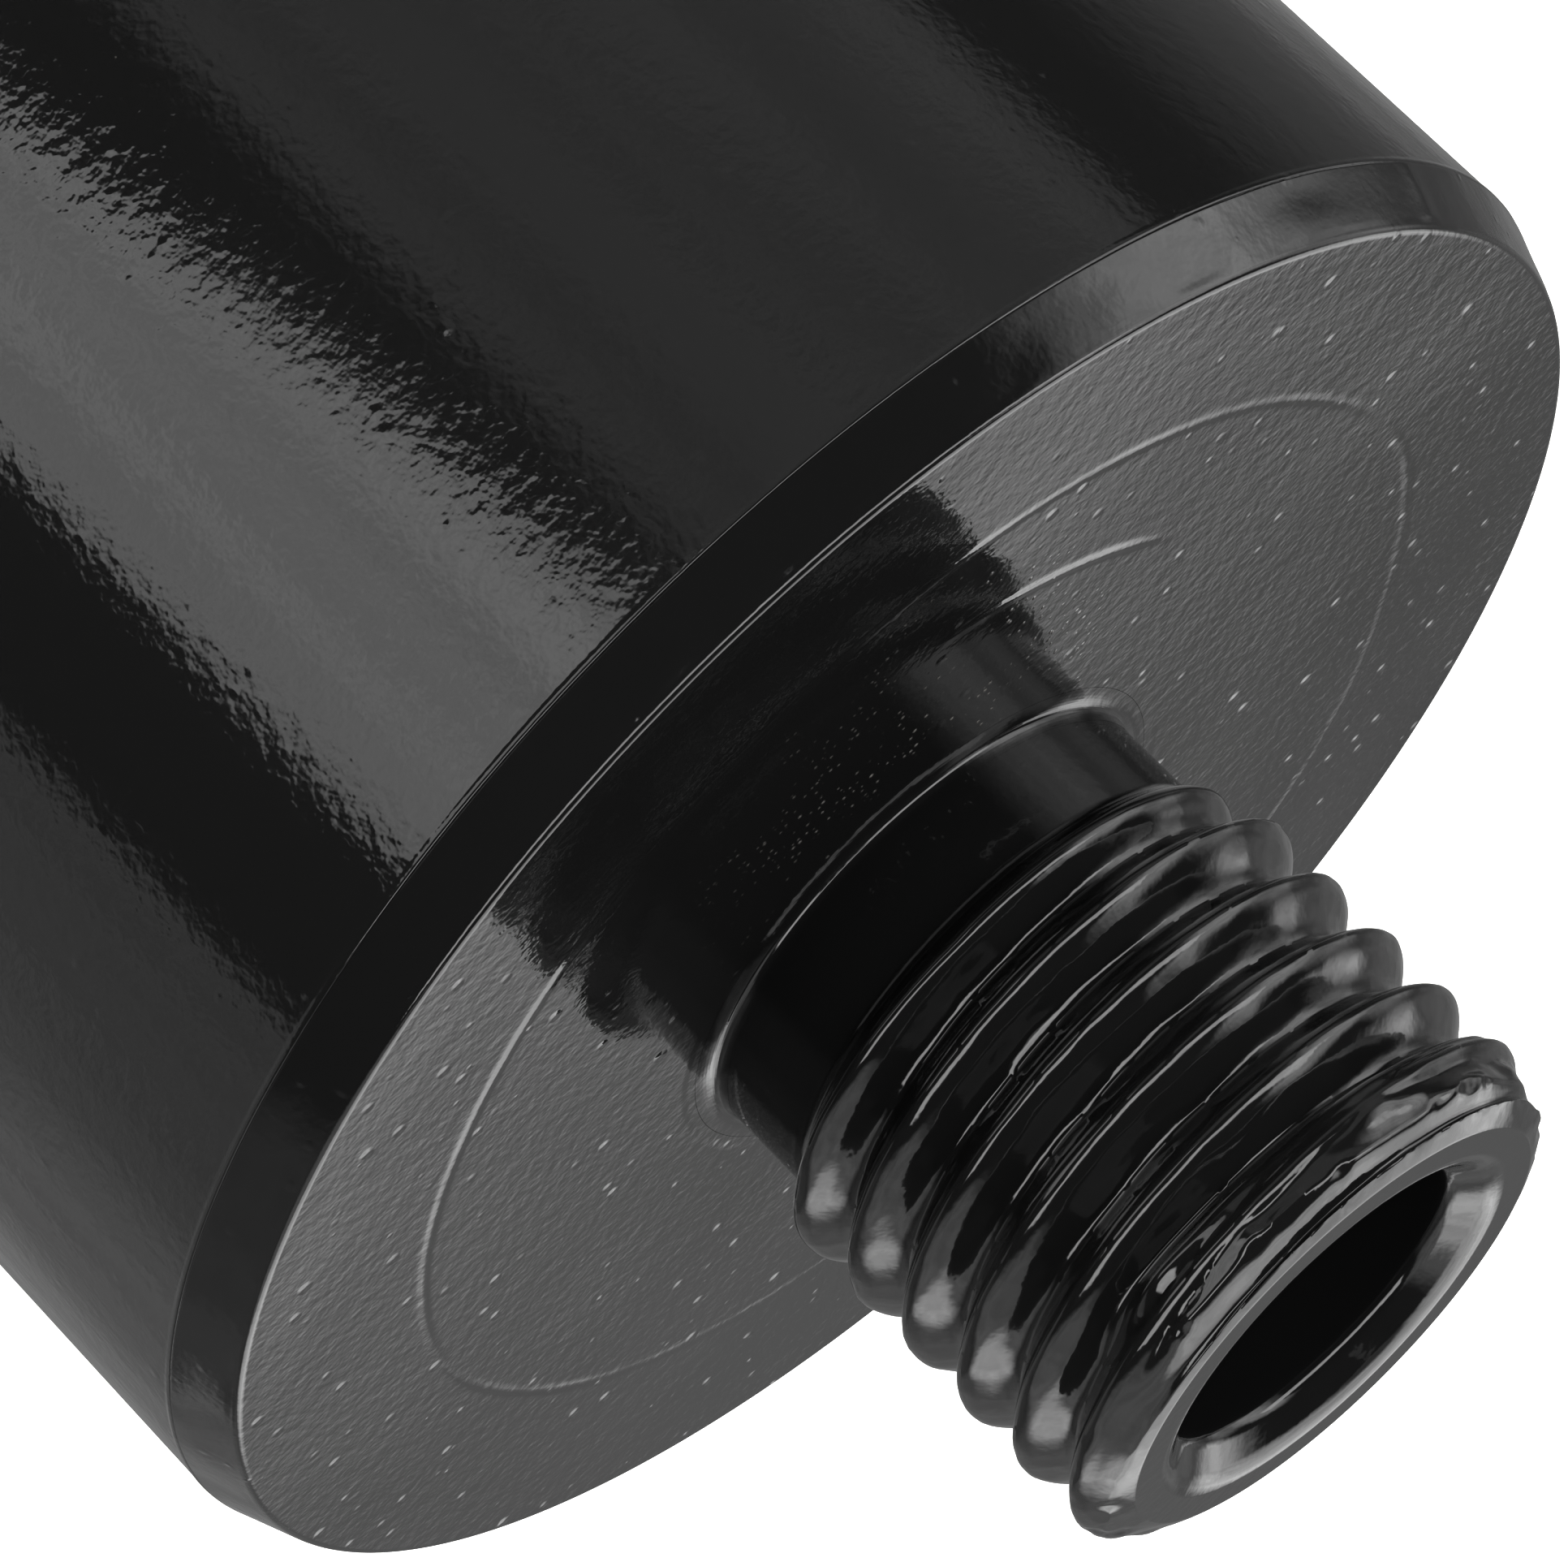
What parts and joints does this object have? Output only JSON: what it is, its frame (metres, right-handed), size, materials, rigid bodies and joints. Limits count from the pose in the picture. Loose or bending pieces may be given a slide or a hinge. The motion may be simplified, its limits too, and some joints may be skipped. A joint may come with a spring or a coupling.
{
  "type": "threaded surge chamber",
  "caption": "Closed black-enamelled cylinder with a short hollow threaded nipple on its flat front face, holding a gas-backed piston that takes up pressure surges in a pipe.",
  "frame": {"origin": "centre of the rear rim that the part stands on", "axes": "+Z from the rear rim along the cylinder's axis to the nipple's end"},
  "size_m": [0.0604, 0.0604, 0.1449],
  "materials": {
    "enamelled_steel": "thick glossy black enamel with orange peel",
    "stainless_liner": "honed stainless steel",
    "zinc_plated_steel": "turned and zinc plated",
    "spring_steel": "oiled dark spring steel",
    "valve_brass": "turned brass",
    "acetal": "turned white acetal",
    "guide_plastic": "bronze-filled bearing strip",
    "seal_rubber": "moulded nitrile rubber",
    "cap_plastic": "moulded, fluted"
  },
  "bodies": {
    "canister": {"casing_tube": "enamelled_steel", "front_end_plate": "enamelled_steel", "threaded_nipple": "enamelled_steel", "nipple_weld_bead": "enamelled_steel", "cylinder_liner": "stainless_liner", "front_liner_o_ring": "seal_rubber", "rear_liner_o_ring": "seal_rubber", "rear_plate_o_ring": "seal_rubber", "rear_end_plate": "zinc_plated_steel", "rear_snap_ring": "spring_steel", "front_bumper_ring": "seal_rubber", "rear_stop_ring": "seal_rubber", "valve_body": "valve_brass", "valve_head_seal": "seal_rubber", "valve_washer": "zinc_plated_steel", "valve_nut": "zinc_plated_steel", "valve_core": "valve_brass", "valve_spring": "spring_steel"},
    "piston_assembly": {"piston": "acetal", "piston_o_ring_front": "seal_rubber", "piston_o_ring_rear": "seal_rubber", "piston_guide_ring": "guide_plastic"},
    "valve_pin_assembly": {"valve_pin": "stainless_liner", "valve_poppet_seal": "seal_rubber"},
    "cap_seal": {"valve_cap_seal": "seal_rubber"},
    "cap": {"valve_cap": "cap_plastic"}
  },
  "joints": [
    {"name": "piston_slide", "type": "slide", "parent": "canister", "child": "piston_assembly", "axis": [0, 0, 1], "range_m": [-0.0349, 0], "stiffness_N_per_m": 6000, "springref_m": 0.03},
    {"name": "valve_pin_press", "type": "slide", "parent": "canister", "child": "valve_pin_assembly", "axis": [0, 0, 1], "range_m": [0, 0.0012], "stiffness_N_per_m": 1500, "springref_m": -0.002, "deforming": ["valve_spring"]},
    {"name": "cap_seal_travel", "type": "slide", "parent": "canister", "child": "cap_seal", "axis": [0, 0, -1], "range_m": [0, 0.00397]},
    {"name": "valve_cap_turn", "type": "hinge", "parent": "cap_seal", "child": "cap", "pos_m": [0, 0, 0.01], "axis": [0, 0, -1], "range_deg": [0, 1800]}
  ],
  "couplings": [
    {"joint": "valve_cap_turn", "follows": "cap_seal_travel", "rad_per_m": 7913.3}
  ]
}
